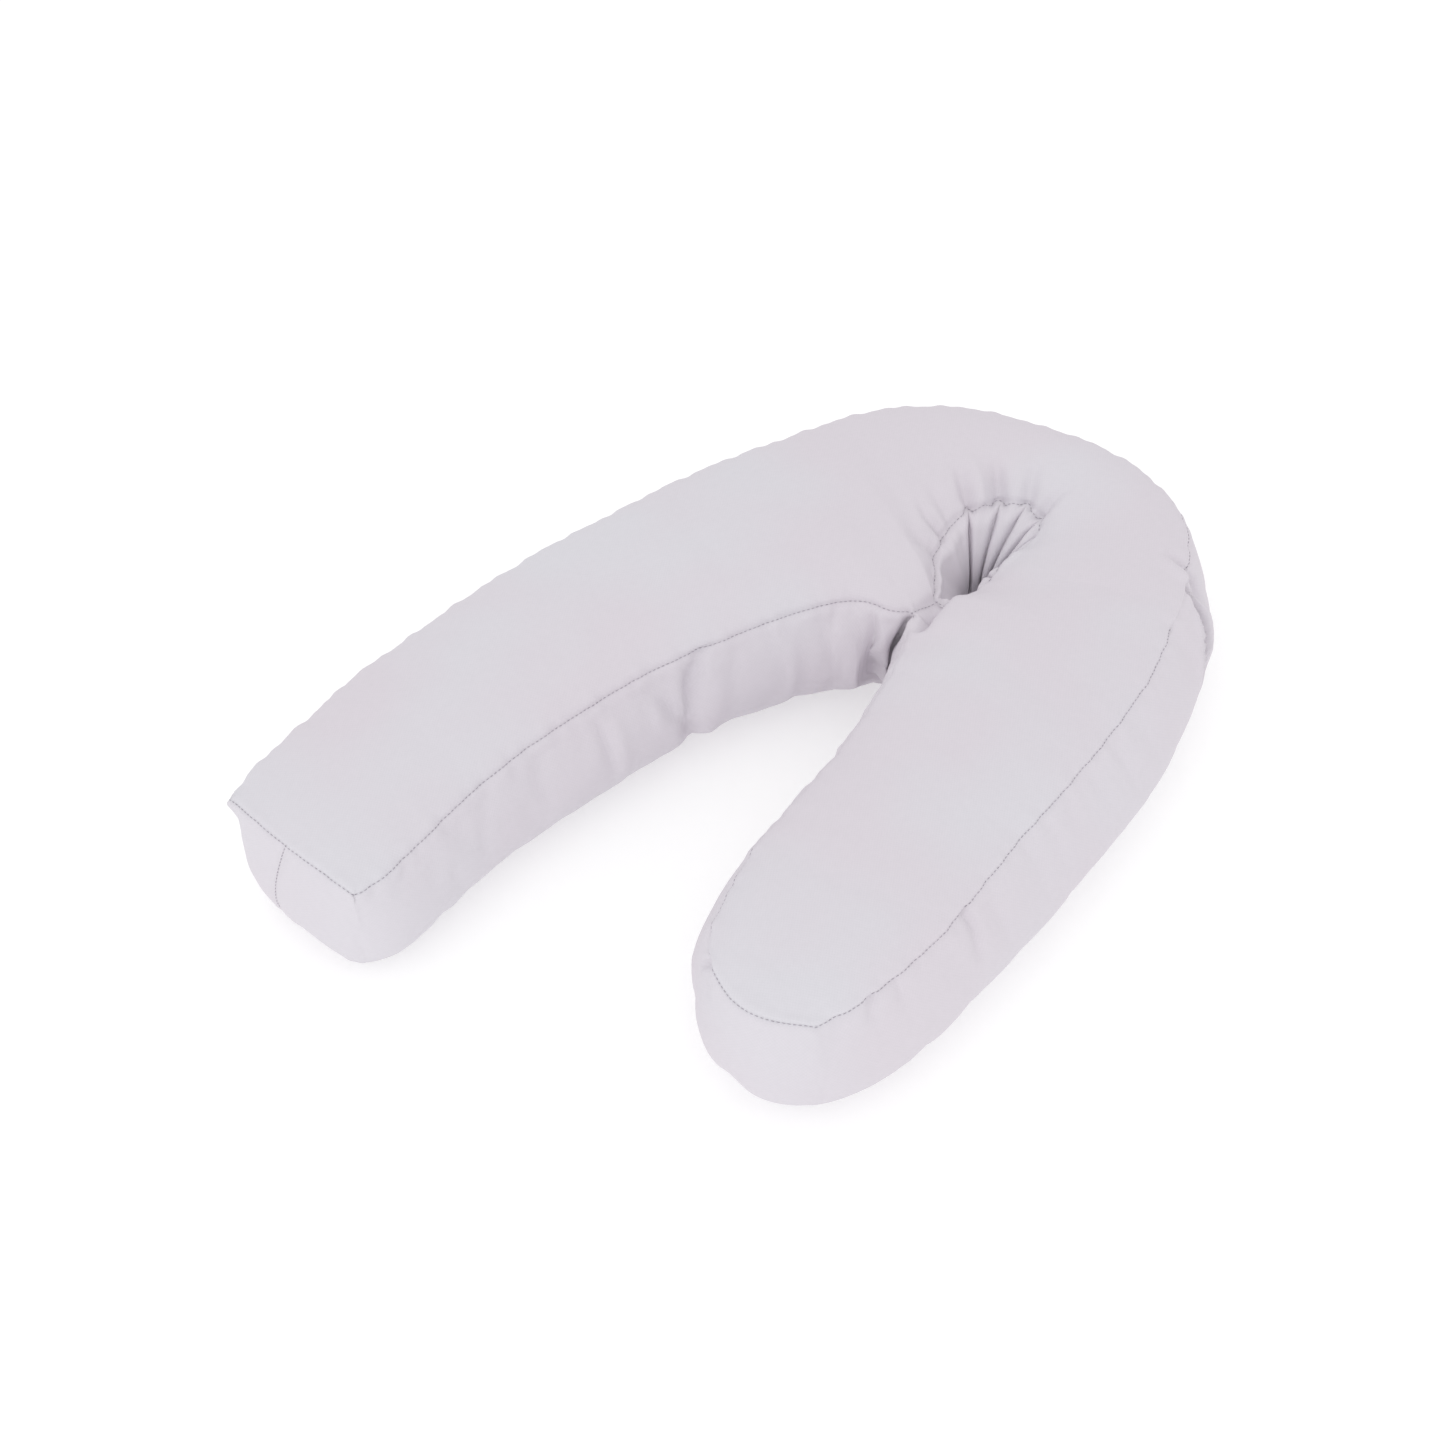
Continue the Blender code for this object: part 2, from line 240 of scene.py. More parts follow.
# The filling.
WRINKLES_ON_PANEL = 0.2   # how strongly the filling wrinkles each part of the cover
WRINKLES_ON_BAND = 0.55
WRINKLE_LIMIT = 5.0       # no wrinkle moves the cloth further than this
WRINKLE_SPREAD = 60       # how often the swell is evened out to leave only the wrinkles
FILLING_STEPS = 20        # steps in which the filling presses the cloth out
AT_SEAM = 0.5             # cloth closer to a seam than this is held by it

# The studio, in metres.
FLOOR_SIZE = 8.0
SOFTBOX_SIZE = 2.4
SOFTBOXES = (("softbox_left", 16.0, (-2.4, -1.2, 2.6)), ("softbox_front", 3.0, (-1.1, -2.8, 1.9)))
CAMERA_AZIMUTH = -36.0
CAMERA_ELEVATION = 49.0
CAMERA_DISTANCE = 2.0
CAMERA_TARGET = (15.3, 108.9)    # in the tables' measurements
CAMERA_SENSOR = 36.0
CAMERA_LENS = 71.425

TINY = 1e-12              # keeps a division by nothing from failing


def column(*names):
    """The named columns of the table, one row of numbers for each line across the panel."""
    places = [PANEL_COLUMNS.index(name) for name in names]
    return np.array([[row[place] for place in places] for row in PANEL_ROWS], dtype=float)


def smooth_curve(points, steps):
    """A Catmull-Rom curve through the points, with the given steps to each stretch."""
    ends = np.vstack([2 * points[0] - points[1], points, 2 * points[-1] - points[-2]])
    curve = []
    for before, start, end, after in zip(ends[:-3], ends[1:-2], ends[2:-1], ends[3:]):
        for step in range(steps):
            t = step / steps
            curve.append(0.5 * (2 * start + (end - before) * t
                                + (2 * before - 5 * start + 4 * end - after) * t ** 2
                                + (3 * start - before - 3 * end + after) * t ** 3))
    curve.append(points[-1])
    return np.array(curve)


def smooth_step(x):
    """Rises smoothly from 0 to 1 while x does, and stays level before and after."""
    x = np.clip(x, 0.0, 1.0)
    return x * x * (3 - 2 * x)


def stitched_lines():
    """The four mesh lines that bound where the two arms' inner edges are sewn together."""
    rows = [place for place, row in enumerate(PANEL_ROWS) if row[0] == "stitched"]
    return [row * STEPS_PER_ROW for row in rows]


def closer_to_ends(faces):
    """Places from 0 to 1 for the given number of faces, closer together near both ends."""
    even = np.linspace(0.0, 1.0, faces + 1)
    return even - END_CROWDING * np.sin(2 * math.pi * even)


def top_panel():
    """The top panel as a grid of points: lines across it by points along each line."""
    rows = column("inner_x", "inner_y", "inner_z")
    cuts = [0] + [line // STEPS_PER_ROW for line in stitched_lines()] + [len(rows) - 1]
    stretches = [smooth_curve(rows[start:end + 1], STEPS_PER_ROW)
                 for start, end in zip(cuts[:-1], cuts[1:])]
    inner = np.vstack([stretch[:-1] for stretch in stretches] + [rows[-1:]])
    outer = smooth_curve(column("outer_x", "outer_y"), STEPS_PER_ROW)
    outer = np.column_stack([outer, np.full(len(outer), BAND_TOP)])
    crown, bow = smooth_curve(column("crown", "bow"), STEPS_PER_ROW).T

    across = closer_to_ends(FACES_ACROSS)
    panel = inner[:, None] * (1 - across[:, None]) + outer[:, None] * across[:, None]
    along = np.gradient((inner + outer) / 2, axis=0)[:, :2]
    along /= np.linalg.norm(along, axis=1)[:, None]
    panel[:, :, :2] += along[:, None] * (bow[:, None] * 4 * across * (1 - across))[:, :, None]
    panel[:, :, 2] += (crown - EDGE_ROLL)[:, None] * (1 - np.abs(2 * across - 1) ** CROWN_FLATNESS)
    width = np.linalg.norm(outer - inner, axis=1)
    from_edge = width[:, None] * np.minimum(across, 1 - across)
    panel[:, :, 2] += EDGE_ROLL * (1 - np.exp(-from_edge / EDGE_ROLL_REACH))
    return panel


def seam_loops(lines, points):
    """Grid places round the outer seam and round the ear hole, cloth on the right of both."""
    slot_start, hole_start, hole_end, slot_end = stitched_lines()
    last_line, last_point = lines - 1, points - 1
    outer = [(line, last_point) for line in range(last_line)]
    outer += [(last_line, point) for point in range(last_point, 0, -1)]
    outer += [(line, 0) for line in range(last_line, slot_end, -1)]
    outer += [(line, 0) for line in range(slot_start, 0, -1)]
    outer += [(0, point) for point in range(last_point)]
    hole = [(line, 0) for line in range(hole_end - 1, hole_start - 1, -1)]
    return {"outer": outer, "hole": hole}


def loop_lengths(loop):
    """Length along a closed loop up to each of its points, and back to the first."""
    steps = np.linalg.norm(np.roll(loop, -1, axis=0) - loop, axis=1)
    return np.append(0.0, np.cumsum(steps))


def rounded(loop):
    """The closed loop with its corners rounded by moving averages along its length."""
    places = loop_lengths(loop)
    length = places[-1]
    closed = np.vstack([loop, loop[:1]])
    samples = int(length / ROUNDING_STEP)
    even = np.arange(samples) * length / samples
    path = np.stack([np.interp(even, places, axis) for axis in closed.T], axis=1)
    reach = int(CORNER_ROUNDING * samples / length)
    for _ in range(ROUNDING_PASSES):
        path = sum(np.roll(path, shift, axis=0) for shift in range(-reach, reach + 1))
        path = path / (2 * reach + 1)
    path = np.vstack([path, path[:1]])
    even = np.append(even, length)
    return np.stack([np.interp(places[:-1], even, axis) for axis in path.T], axis=1)


def nearest_place(seam, place):
    """The number of the seam's point that lies nearest to a place, as seen from above."""
    return int(np.argmin(np.linalg.norm(seam[:, :2] - place, axis=1)))


def outwards(loop):
    """The level direction out of the cloth at each point of a seam loop."""
    ahead = (np.roll(loop, -1, axis=0) - np.roll(loop, 1, axis=0))[:, :2]
    ahead /= np.linalg.norm(ahead, axis=1)[:, None]
    return np.stack([-ahead[:, 1], ahead[:, 0]], axis=1)


def side_band(seam, swell):
    """Rings of points round a band, from its upper seam down to its lower one."""
    soft = rounded(seam)
    out_of_cloth = outwards(soft)
    rings = []
    for down in closer_to_ends(FACES_DOWN):
        blend = smooth_step(down / CORNER_FADE)
        ring = seam * (1 - blend) + soft * blend
        out = swell * math.sin(math.pi * down ** SWELL_LOWERED) ** SWELL_FULLNESS
        out = out - LOWER_TUCK * smooth_step((down - TUCK_START) / (1 - TUCK_START))
        ring[:, :2] += out_of_cloth * out[:, None]
        ring[:, 2] = ring[:, 2] * (1 - down) + LOWER_SEAM_HEIGHT * down
        rings.append(ring)
    return rings


def bow_join(seam, rings):
    """Shifts the band round its join, so that the join bows as it runs down."""
    from_join = np.linalg.norm(seam[:, :2] - BAND_JOIN, axis=1)
    place = nearest_place(seam, BAND_JOIN)
    along = seam[place + 1, :2] - seam[place - 1, :2]
    shift = JOIN_BOW * np.exp(-(from_join / JOIN_REACH) ** 2)[:, None] * along
    shift /= np.linalg.norm(along)
    for ring, down in zip(rings, closer_to_ends(FACES_DOWN)):
        ring[:, :2] += shift * math.sin(JOIN_BOW_TURN * math.pi * down)


class Cover:
    """The cover's points and faces, with what is known about each point: which sheet of cloth
    it is on, how far the nearest seam is, how far along that seam it lies, and its height."""

    FACTS = ("sheet", "seam_gap", "seam_run", "band_height")
    TOP, TOP_SEAM, BAND, LOWER_SEAM, UNDERSIDE = 0.0, 0.5, 1.0, 1.5, 2.0

    def __init__(self):
        self.places = []
        self.facts = []
        self.faces = []
        self.grain = []
        self.sewn = []
        self.creased = []
        self.outer_seam = None
        self.hole_rings = []

    def add(self, place, *facts):
        """Adds a point with its facts, and gives its number."""
        self.places.append(np.array(place, dtype=float))
        self.facts.append(list(facts))
        return len(self.places) - 1

    def face(self, corners, grain):
        """Adds a face, with where each of its corners lies on the flat cloth."""
        self.faces.append(list(corners))
        self.grain.extend(grain)

    def sew(self, line):
        """Marks the edges along a line of points as a seam."""
        self.sewn += zip(line, line[1:])

    def fact(self, name):
        """What the fact of that name is for every point."""
        return self.facts[:, self.FACTS.index(name)]


def seam_facts(panel, place, runs):
    """How far a grid place of the panel is from the nearest seam, and how far along it that is."""
    lines, points = panel.shape[:2]
    line, point = place
    ends = ((line, 0), (line, points - 1), (0, point), (lines - 1, point))
    gaps = [np.linalg.norm(panel[end] - panel[place]) for end in ends]
    nearest = int(np.argmin(gaps))
    return gaps[nearest], runs.get(ends[nearest], 0.0)


def partner(line):
    """The line of the other arm whose inner end is sewn to this line's."""
    slot_start, _, _, slot_end = stitched_lines()
    return slot_start + slot_end - line


def add_top(cover, panel, runs):
    """The top panel's points, by grid place. Two lines that are sewn together share one."""
    lines, points = panel.shape[:2]
    _, _, hole_end, slot_end = stitched_lines()
    top = {}
    for line in range(lines):
        for point in range(points):
            if point == 0 and hole_end <= line <= slot_end:
                top[line, point] = top[partner(line), 0]
                continue
            gap, run = seam_facts(panel, (line, point), runs)
            sheet = Cover.TOP_SEAM if (line, point) in runs else Cover.TOP
            top[line, point] = cover.add(panel[line, point], sheet, gap, run, BAND_TOP)
    return top


def add_band(cover, upper_edge, rings, lengths):
    """A band's points and faces, hung from the points of its upper edge. Returns its rings."""
    downs = closer_to_ends(FACES_DOWN)
    band = [upper_edge]
    for ring, down in zip(rings[1:], downs[1:]):
        height = BAND_TOP * (1 - down) + LOWER_SEAM_HEIGHT * down
        gap = min(down, 1 - down) * (BAND_TOP - LOWER_SEAM_HEIGHT)
        sheet = Cover.LOWER_SEAM if down == 1.0 else Cover.BAND
        band.append([cover.add(place, sheet, gap, run, height)
                     for place, run in zip(ring, lengths)])
    for upper, lower, high, low in zip(band[:-1], band[1:], downs[:-1], downs[1:]):
        for here in range(len(upper)):
            ahead = (here + 1) % len(upper)
            start, end = lengths[here], lengths[here + 1]
            cover.face((upper[here], upper[ahead], lower[ahead], lower[here]),
                       ((start, -high * BAND_TOP), (end, -high * BAND_TOP),
                        (end, -low * BAND_TOP), (start, -low * BAND_TOP)))
    return band


def sew_outer_band(cover, seam, band):
    """Sews the outer band's upper seam where its stitches show, and the join down the band."""
    hidden = set()
    for start, end in HIDDEN_SEAMS:
        hidden.update(range(nearest_place(seam, start), nearest_place(seam, end)))
    upper_edge = band[0] + band[0][:1]
    for place in range(len(seam)):
        if place not in hidden:
            cover.sew(upper_edge[place:place + 2])
    join = [ring[nearest_place(seam, BAND_JOIN)] for ring in band]
    cover.sew(join)
    for index in join:
        cover.facts[index][Cover.FACTS.index("seam_gap")] = 0.0


def add_bottom(cover, panel, runs, bottom):
    """Fills in the underside between the bands' lower edges. It rests on its middle."""
    lines, points = panel.shape[:2]
    slot_start, hole_start, hole_end, slot_end = stitched_lines()
    start, end = cover.places[bottom[slot_start, 0]], cover.places[bottom[hole_start, 0]]
    for line in range(slot_start + 1, hole_start):
        share = (line - slot_start) / (hole_start - slot_start)
        bottom[line, 0] = cover.add(start * (1 - share) + end * share,
                                    Cover.UNDERSIDE, 0.0, 0.0, LOWER_SEAM_HEIGHT)
    for line in range(hole_end, slot_end + 1):
        bottom[line, 0] = bottom[partner(line), 0]
    across = closer_to_ends(FACES_ACROSS)
    for line in range(lines):
        start, end = (cover.places[bottom[line, side]] for side in (0, points - 1))
        for point in range(1, points - 1):
            if (line, point) in bottom:
                continue
            share = across[point]
            straight = panel[line, 0] * (1 - share) + panel[line, -1] * share
            place = start * (1 - share) + end * share
            place[:2] += (panel[line, point] - straight)[:2]
            gap, run = seam_facts(panel, (line, point), runs)
            place[2] = LOWER_SEAM_HEIGHT * (1 - smooth_step(gap / RESTING_MARGIN))
            bottom[line, point] = cover.add(place, Cover.UNDERSIDE, gap, run, LOWER_SEAM_HEIGHT)


def add_panel_faces(cover, top, bottom):
    """The faces of the top panel and of the underside, which is the same grid turned over."""
    for line, point in top:
        ring = ((line, point), (line + 1, point), (line + 1, point + 1), (line, point + 1))
        if ring[2] not in top:
            continue
        for sheet, order in ((top, ring), (bottom, ring[::-1])):
            corners = [sheet[place] for place in order]
            cover.face(corners, [cover.places[corner][:2] for corner in corners])


def build_cover(panel):
    """The whole cover before it is filled: two panels, the outer band and the hole's band."""
    cover = Cover()
    loops = seam_loops(*panel.shape[:2])
    seams, lengths, runs = {}, {}, {}
    for name, loop in loops.items():
        seams[name] = np.array([panel[place] for place in loop])
        run_start = HOLE_RUN_START if name == "hole" else 0.0
        lengths[name] = loop_lengths(seams[name]) + run_start
        runs.update(zip(loop, lengths[name]))
    top = add_top(cover, panel, runs)

    swells = smooth_curve(column("inner_swell", "outer_swell"), STEPS_PER_ROW)
    across = closer_to_ends(FACES_ACROSS)
    bands, bottom = {}, {}
    for name, loop in loops.items():
        swell = np.array([np.interp(across[point], (0, 1), swells[line])
                          for line, point in loop])
        rings = side_band(seams[name], swell)
        if name == "outer":
            bow_join(seams[name], rings)
        bands[name] = add_band(cover, [top[place] for place in loop], rings, lengths[name])
        lower_edge = bands[name][-1]
        cover.sew(lower_edge + lower_edge[:1])
        bottom.update(zip(loop, lower_edge))
    sew_outer_band(cover, seams["outer"], bands["outer"])
    rim = bands["hole"][0]
    cover.sew(rim + rim[:1])

    add_bottom(cover, panel, runs, bottom)
    slot_start, hole_start, _, _ = stitched_lines()
    for sheet in (top, bottom):
        cover.sew([sheet[line, 0] for line in range(slot_start, hole_start + 1)])
    add_panel_faces(cover, top, bottom)
    cover.places = np.array(cover.places)
    cover.facts = np.array(cover.facts)
    cover.outer_seam = seams["outer"]
    cover.hole_rings = bands["hole"]
    return cover


def new_object(name, data):
    """A new object in the scene."""
    thing = bpy.data.objects.new(name, data)
    bpy.context.scene.collection.objects.link(thing)
    return thing


def cover_object(cover, name):
    """The cover as a mesh object in the frame, with its facts, its cloth grain and its seams."""
    mesh = bpy.data.meshes.new(name)
    places = (cover.places - (*FOOTPRINT_MIDDLE, 0.0)) * MM
    mesh.from_pydata([tuple(place) for place in places], [], cover.faces)
    for fact, values in zip(Cover.FACTS, cover.facts.T):
        layer = mesh.attributes.new(fact, "FLOAT", "POINT")
        layer.data.foreach_set("value", values.astype(np.float32))
    grain = mesh.uv_layers.new(name="grain")
    grain.data.foreach_set("uv", (np.array(cover.grain) * MM).astype(np.float32).ravel())
    edges = [frozenset(edge.vertices) for edge in mesh.edges]
    sewn = {frozenset(ends) for ends in cover.sewn}
    layer = mesh.attributes.new("sewn", "BOOLEAN", "EDGE")
    layer.data.foreach_set("value", [ends in sewn for ends in edges])
    creased = {frozenset(ends) for ends in cover.creased}
    layer = mesh.attributes.new("crease_edge", "FLOAT", "EDGE")
    layer.data.foreach_set("value", [float(ends in creased) for ends in edges])
    mesh.shade_smooth()
    return new_object(name, mesh)


def mesh_fact(mesh, name):
    """What the fact of that name is for every vertex of the mesh."""
    values = np.empty(len(mesh.vertices), dtype=np.float32)
    mesh.attributes[name].data.foreach_get("value", values)
    return values.astype(float)


def vectors(mesh, what):
    """The mesh's vertex places ("co") or normals ("normal"), one row each."""
    values = np.empty(len(mesh.vertices) * 3, dtype=np.float32)
    mesh.vertices.foreach_get(what, values)
    return values.reshape(-1, 3).astype(float)


def set_places(mesh, places):
    """Moves the mesh's vertices to the given places."""
    mesh.vertices.foreach_set("co", places.astype(np.float32).ravel())
    mesh.update()


def evaluated_mesh(thing, name):
    """The object's mesh with its modifiers applied, as a plain mesh."""
    depsgraph = bpy.context.evaluated_depsgraph_get()
    mesh = bpy.data.meshes.new_from_object(thing.evaluated_get(depsgraph),
                                           preserve_all_data_layers=True, depsgraph=depsgraph)
    mesh.name = name
    return mesh


def edge_ends(mesh):
    """The two vertices at the ends of each of the mesh's edges, one row each."""
    ends = np.empty(len(mesh.edges) * 2, dtype=np.int32)
    mesh.edges.foreach_get("vertices", ends)
    return ends.reshape(-1, 2)


def sums_at_ends(ends, to_first, to_second, vertices):
    """What the edges give to their first and second ends, added up at each vertex."""
    first, second = ends.T
    return np.stack([np.bincount(first, one, vertices) + np.bincount(second, other, vertices)
                     for one, other in zip(to_first.T, to_second.T)], axis=1)


def spread(mesh, values, times):
    """The vertex values evened out over their neighbours, the given number of times."""
    ends = edge_ends(mesh)
    first, second = ends.T
    neighbours = np.bincount(ends.ravel(), minlength=len(values))[:, None]
    for _ in range(times):
        sums = sums_at_ends(ends, values[second], values[first], len(values))
        values = 0.5 * values + 0.5 * sums / neighbours
    return values


def filling_wrinkles(cover):
    """How far each point moves when the filling presses a slightly large cloth out between its
    seams, less the even part of that swell, in mm."""
    thing = cover_object(cover, "cover_being_filled")
    held = cover.fact("seam_gap") < AT_SEAM
    at_seam = thing.vertex_groups.new(name="at_seam")
    at_seam.add(np.nonzero(held)[0].tolist(), 1.0, "REPLACE")
    filling = thing.modifiers.new("filling", "CLOTH")
    settings = filling.settings
    settings.quality = 5
    settings.mass = 0.15
    settings.tension_stiffness = 40
    settings.compression_stiffness = 40
    settings.shear_stiffness = 12
    settings.bending_stiffness = 0.1
    settings.use_pressure = True
    settings.uniform_pressure_force = 4
    settings.effector_weights.gravity = 0
    settings.shrink_min = -0.03
    settings.vertex_group_mass = "at_seam"
    for step in range(FILLING_STEPS):
        bpy.context.scene.frame_set(step + 1)
    filled = evaluated_mesh(thing, "filled")
    moved = (vectors(filled, "co") - vectors(thing.data, "co")) / MM
    wrinkles = moved - spread(thing.data, moved, WRINKLE_SPREAD)
    wrinkles[held] = 0.0
    bpy.context.scene.frame_set(1)
    old = thing.data
    bpy.data.objects.remove(thing)
    bpy.data.meshes.remove(old)
    bpy.data.meshes.remove(filled)
    return wrinkles


def wrinkle(cover):
    """Adds the filling's wrinkles, weaker on the taut panel than on the band, none under it."""
    wrinkles = filling_wrinkles(cover)
    sheet = cover.fact("sheet")
    strength = np.where(sheet > Cover.TOP_SEAM, WRINKLES_ON_BAND, WRINKLES_ON_PANEL)
    strength = np.where(sheet >= Cover.LOWER_SEAM, 0.0, strength)
    wrinkles *= strength[:, None]
    size = np.linalg.norm(wrinkles, axis=1)[:, None]
    wrinkles *= np.minimum(1.0, WRINKLE_LIMIT / np.maximum(size, TINY))
    cover.places += wrinkles


def gather_ear_hole(cover):
    """Draws the ear hole's band in to its waist, and gathers it in pleats."""
    rim = cover.places[cover.hole_rings[0]]
    lower = cover.places[cover.hole_rings[-1]]
    middle = np.array(EAR_HOLE_MIDDLE, dtype=float)
    waist = middle + EAR_HOLE_WAIST * (rim[:, :2] - middle)
    lengths = loop_lengths(rim)
    pleats = sorted(lengths[nearest_place(rim, pleat)] for pleat in PLEATS)
    pleats = np.array([pleats[-1] - lengths[-1]] + pleats + [pleats[0] + lengths[-1]])
    place = np.searchsorted(pleats, lengths[:-1], side="right")
    start, end = pleats[place - 1], pleats[place]
    share = (lengths[:-1] - start) / (end - start)
    roll = np.sqrt(np.clip(4 * share * (1 - share), 0.0, 1.0))
    roll *= np.minimum(end - start, PLEAT_ROLL)
    from_pleat = np.minimum(lengths[:-1] - start, end - lengths[:-1])
    nip = PLEAT_NIP * np.exp(-(from_pleat / PLEAT_NIP_WIDTH) ** 2)
    inwards = waist - rim[:, :2]
    inwards /= np.linalg.norm(inwards, axis=1)[:, None]
    scallop = RIM_SCALLOP * np.exp(-(from_pleat / RIM_SCALLOP_WIDTH) ** 2)
    cover.places[cover.hole_rings[0], :2] -= inwards * scallop[:, None]
    near_slot = smooth_step((middle[0] - SLOT_WALL_START - rim[:, 0]) / SLOT_WALL_FADE)
    steepness = GATHERED_STEEPNESS + EXTRA_STEEPNESS * near_slot
    roll *= 1 - SMOOTHED_SHARE * near_slot
    for ring, down in zip(cover.hole_rings[1:-1], closer_to_ends(FACES_DOWN)[1:-1]):
        drawn_in = math.sin(math.pi * down ** WAIST_LOWERED) ** steepness[:, None]
        bulge = smooth_step(down / PLEAT_HEM) * smooth_step((1 - down) / PLEAT_HEM)
        size = ROLL_AT_SEAMS * (1 - drawn_in[:, 0]) + ROLL_AT_WAIST * drawn_in[:, 0]
        edge = rim * (1 - down) + lower * down
        places = edge[:, :2] * (1 - drawn_in) + waist * drawn_in
        depth = bulge * roll * size - smooth_step((1 - down) / PLEAT_HEM) * nip
        cover.places[ring, :2] = places + inwards * depth[:, None]
        cover.places[ring, 2] = edge[:, 2]
    for place in np.nonzero(from_pleat == 0.0)[0]:
        line = [ring[place] for ring in cover.hole_rings]
        cover.creased += zip(line, line[1:])


def along_path(points, path):
    """For each point: how far it is from the path, on which side (left is positive), and how
    far along the path the nearest place is, from 0 to 1."""
    nearest = np.full(len(points), np.inf)
    side = np.ones(len(points))
    share = np.zeros(len(points))
    for number, (start, end) in enumerate(zip(path[:-1], path[1:])):
        step = end - start
        part = np.clip((points - start) @ step / (step @ step), 0.0, 1.0)
        away = points - start - part[:, None] * step
        distance = np.linalg.norm(away, axis=1)
        closer = distance < nearest
        nearest[closer] = distance[closer]
        cross = step[0] * away[:, 1] - step[1] * away[:, 0]
        side[closer] = np.sign(cross[closer])
        share[closer] = (number + part[closer]) / (len(path) - 1)
    return nearest, side, share


def fold_moves(points, width, depths, path, kind="soft"):
    """What a fold does to each point of a flat sheet of cloth: how deep it sinks, how far it
    slides over towards the fold's right side, and how far left of the fold it started."""
    distance, side, share = along_path(points, np.array(path, dtype=float))
    depth = np.interp(share, np.linspace(0, 1, len(depths)), depths)
    fading = np.exp(-(distance / width) ** FADES[kind])
    sinking = depth * fading
    if kind == "tucked":
        sharp = np.tanh(distance / TUCK_STEP) * fading
        sinking = np.where(side > 0, -TUCK_RISE, 1.0) * depth * sharp
    reach = np.where(side > 0, width, LIP_REACH)
    sliding = OVERHANGS[kind] * depth * np.exp(-(distance / reach) ** 2)
    return sinking, sliding, side * distance


def press_fold(mesh, places, normals, at, sheet_places, fold):
    """How one fold moves the vertices marked in "at", which lie on a flat sheet at the given
    places."""
    sinking, sliding, left = (np.zeros(len(places)) for _ in range(3))
    sinking[at], sliding[at], left[at] = fold_moves(sheet_places, *fold)
    moves = -normals * sinking[:, None]
    if sliding.any():
        moves -= uphill(mesh, places, at, left) * sliding[:, None]
    return moves


def uphill(mesh, places, at, values):
    """For each vertex, the direction over the cloth in which the values rise most."""
    ends = edge_ends(mesh)
    ends = ends[at[ends].all(axis=1)]
    first, second = ends.T
    step = places[second] - places[first]
    rise = (values[second] - values[first]) / np.maximum((step * step).sum(axis=1), TINY)
    pull = step * rise[:, None]
    sums = sums_at_ends(ends, pull, pull, len(places))
    return sums / np.maximum(np.linalg.norm(sums, axis=1), TINY)[:, None]


def press_folds(thing, seam):
    """Presses the listed folds into the top panel and the band."""
    mesh = thing.data
    places, normals = vectors(mesh, "co"), vectors(mesh, "normal")
    sheet, run, height = (mesh_fact(mesh, name) for name in ("sheet", "seam_run", "band_height"))
    moves = np.zeros(places.shape)
    on_top = sheet <= Cover.TOP_SEAM
    level = places[on_top, :2] / MM + FOOTPRINT_MIDDLE
    for fold in TOP_FOLDS:
        moves += press_fold(mesh, places, normals, on_top, level, fold)
    on_band = (sheet >= Cover.TOP_SEAM) & (sheet <= Cover.LOWER_SEAM)
    unrolled = np.stack([run, height], axis=1)[on_band]
    lengths = loop_lengths(seam)
    for width, depths, path, *kind in BAND_FOLDS:
        flat_path = [(lengths[nearest_place(seam, (x, y))], z) for x, y, z in path]
        fold = (width, depths, flat_path, *kind)
        moves += press_fold(mesh, places, normals, on_band, unrolled, fold)
    places += spread(mesh, moves, times=1) * MM
    places[:, 2] = np.maximum(places[:, 2], 0.0)
    set_places(mesh, places)


def finer(thing):
    """Subdivides the object's mesh once and makes the result its own mesh."""
    subdivision = thing.modifiers.new("finer", "SUBSURF")
    subdivision.levels = subdivision.render_levels = 1
    mesh = evaluated_mesh(thing, thing.data.name)
    thing.modifiers.clear()
    thing.data = mesh
    mesh.shade_smooth()


def draw_in_seams(thing):
    """Pulls the cloth into a narrow groove along every seam, and puckers it there."""
    mesh = thing.data
    places, normals = vectors(mesh, "co"), vectors(mesh, "normal")
    gap, run = mesh_fact(mesh, "seam_gap"), mesh_fact(mesh, "seam_run")
    groove = GROOVE_DEPTH * np.exp(-(gap / GROOVE_WIDTH) ** 2)
    shoulder = -SHOULDER_HEIGHT * np.exp(-((gap - SHOULDER_PLACE) / SHOULDER_WIDTH) ** 2)
    puckers = sum(height * np.sin(2 * math.pi * run / length + length)
                  for height, length in PUCKERS)
    puckers *= np.exp(-(gap / PUCKER_REACH) ** 2)
    places -= normals * ((groove + shoulder + puckers) * MM)[:, None]
    places[:, 2] = np.maximum(places[:, 2], 0.0)
    set_places(mesh, places)


def linear(hex_colour):
    """An sRGB hex colour as linear RGBA."""
    channels = [int(hex_colour[place:place + 2], 16) / 255 for place in (1, 3, 5)]
    return [c / 12.92 if c <= 0.04045 else ((c + 0.055) / 1.055) ** 2.4 for c in channels] + [1.0]


def add_node(tree, kind, settings=(), values=(), links=()):
    """Adds a node, then gives it its settings, its unlinked inputs' values and its links."""
    node = tree.nodes.new(kind)
    for name, value in dict(settings).items():
        setattr(node, name, value)
    for name, value in dict(values).items():
        node.inputs[name].default_value = value
    for name, source in dict(links).items():
        tree.links.new(source, node.inputs[name])
    return node


